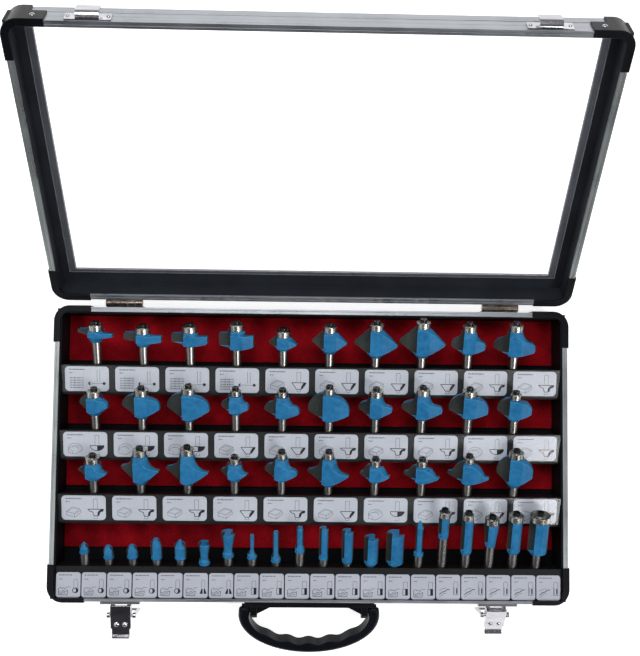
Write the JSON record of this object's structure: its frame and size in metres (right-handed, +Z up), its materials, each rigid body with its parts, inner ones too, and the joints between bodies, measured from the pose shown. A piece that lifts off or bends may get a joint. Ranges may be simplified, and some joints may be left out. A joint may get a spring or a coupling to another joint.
{
  "type": "router bit case",
  "caption": "Hinged aluminium-framed carrying case with a clear lid window, corner caps, draw latches and a bail handle, holding router bits in slanted rails behind label cards.",
  "frame": {"origin": "centre of the tray's flat underside, where the bottom panel and the feet of the corner caps lie in one plane", "axes": "+X to the right along the case, +Y back towards the hinges, +Z up"},
  "size_m": [0.4544, 0.5089, 0.2299],
  "materials": {
    "case_aluminium": "anodised satin",
    "black_trim": "matt",
    "window_lip": "satin",
    "clear_pane": "clear",
    "bottom_board": "black faced board",
    "red_felt": "felt",
    "rail_grey": "matt",
    "label_card": "printed card",
    "clear_strip": "clear",
    "black_plastic": "moulded",
    "plated_steel": "plated",
    "ground_steel": "ground",
    "cutter_blue": "smooth coating",
    "carbide": "ground",
    "bearing_steel": "polished",
    "black_screw": "black oxide"
  },
  "bodies": {
    "base": {"base_corner_caps": "black_plastic", "base_front_profile": "case_aluminium", "base_left_profile": "case_aluminium", "base_lining": "black_trim", "base_rear_profile": "case_aluminium", "base_right_profile": "case_aluminium", "base_rivets": "plated_steel", "bit_rail_1": "rail_grey", "bit_rail_2": "rail_grey", "bit_rail_3": "rail_grey", "bit_rail_4": "rail_grey", "bottom_panel": "bottom_board", "felt_strips": "red_felt", "handle_plate": "black_plastic", "hinge_base_leaves": "plated_steel", "hinge_pins": "plated_steel", "insert_board": "bottom_board", "label_covers": "clear_strip", "latch_pins": "plated_steel", "latch_plates": "plated_steel", "narrow_label_cards": "label_card", "wide_label_cards": "label_card"},
    "lid": {"lid_corner_caps": "black_plastic", "lid_front_profile": "case_aluminium", "lid_left_profile": "case_aluminium", "lid_lining": "black_trim", "lid_rear_profile": "case_aluminium", "lid_right_profile": "case_aluminium", "lid_rivets": "plated_steel", "lid_window_frame": "black_trim", "lid_window_pane": "clear_pane", "lid_window_trim": "window_lip", "hinge_lid_leaves": "plated_steel", "latch_keepers": "plated_steel"},
    "latch_lever_left": {"latch_lever_left": "plated_steel"},
    "latch_lever_right": {"latch_lever_right": "plated_steel"},
    "latch_loop_left": {"latch_loop_left": "plated_steel"},
    "latch_loop_right": {"latch_loop_right": "plated_steel"},
    "handle": {"handle_grip": "black_plastic"},
    "bits_row_1": {"row_1_shanks": "ground_steel", "row_1_cutter_bodies": "cutter_blue", "row_1_carbide_tips": "carbide", "row_1_bearings": "bearing_steel", "row_1_bearing_screws": "black_screw"},
    "bits_row_2": {"row_2_shanks": "ground_steel", "row_2_cutter_bodies": "cutter_blue", "row_2_carbide_tips": "carbide", "row_2_bearings": "bearing_steel", "row_2_bearing_screws": "black_screw"},
    "bits_row_3": {"row_3_shanks": "ground_steel", "row_3_cutter_bodies": "cutter_blue", "row_3_carbide_tips": "carbide", "row_3_bearings": "bearing_steel", "row_3_bearing_screws": "black_screw"},
    "bits_row_4": {"row_4_shanks": "ground_steel", "row_4_cutter_bodies": "cutter_blue", "row_4_carbide_tips": "carbide", "row_4_bearings": "bearing_steel", "row_4_bearing_screws": "black_screw"}
  },
  "joints": [
    {"name": "lid_hinge", "type": "hinge", "parent": "base", "child": "lid", "pos_m": [0, 0.1306, 0.0462], "axis": [-1, 0, 0], "range_deg": [-135, 0]},
    {"name": "latch_lever_left_hinge", "type": "hinge", "parent": "base", "child": "latch_lever_left", "pos_m": [-0.1635, -0.1335, 0.036], "axis": [1, 0, 0], "range_deg": [0, 76]},
    {"name": "latch_loop_left_hinge", "type": "hinge", "parent": "latch_lever_left", "child": "latch_loop_left", "pos_m": [-0.1635, -0.14126, 0.03406], "axis": [1, 0, 0], "range_deg": [-265.01, 0]},
    {"name": "latch_lever_right_hinge", "type": "hinge", "parent": "base", "child": "latch_lever_right", "pos_m": [0.1635, -0.1335, 0.036], "axis": [1, 0, 0], "range_deg": [0, 50]},
    {"name": "latch_loop_right_hinge", "type": "hinge", "parent": "latch_lever_right", "child": "latch_loop_right", "pos_m": [0.1635, -0.13963, 0.03086], "axis": [1, 0, 0], "range_deg": [-239.01, 0]},
    {"name": "handle_hinge", "type": "hinge", "parent": "base", "child": "handle", "pos_m": [0, -0.138, 0.023], "axis": [1, 0, 0], "range_deg": [-112, 60]},
    {"name": "bits_row_1_draw", "type": "slide", "parent": "base", "child": "bits_row_1", "axis": [0, 0.9272, 0.3746], "range_m": [0, 0.022]},
    {"name": "bits_row_2_draw", "type": "slide", "parent": "base", "child": "bits_row_2", "axis": [0, 0.9272, 0.3746], "range_m": [0, 0.022]},
    {"name": "bits_row_3_draw", "type": "slide", "parent": "base", "child": "bits_row_3", "axis": [0, 0.9272, 0.3746], "range_m": [0, 0.022]},
    {"name": "bits_row_4_draw", "type": "slide", "parent": "base", "child": "bits_row_4", "axis": [0, 0.9272, 0.3746], "range_m": [0, 0.022]}
  ],
  "couplings": [
    {"joint": "latch_loop_left_hinge", "follows": "latch_lever_left_hinge", "ratio": -3.4868},
    {"joint": "latch_loop_right_hinge", "follows": "latch_lever_right_hinge", "ratio": -4.78}
  ]
}
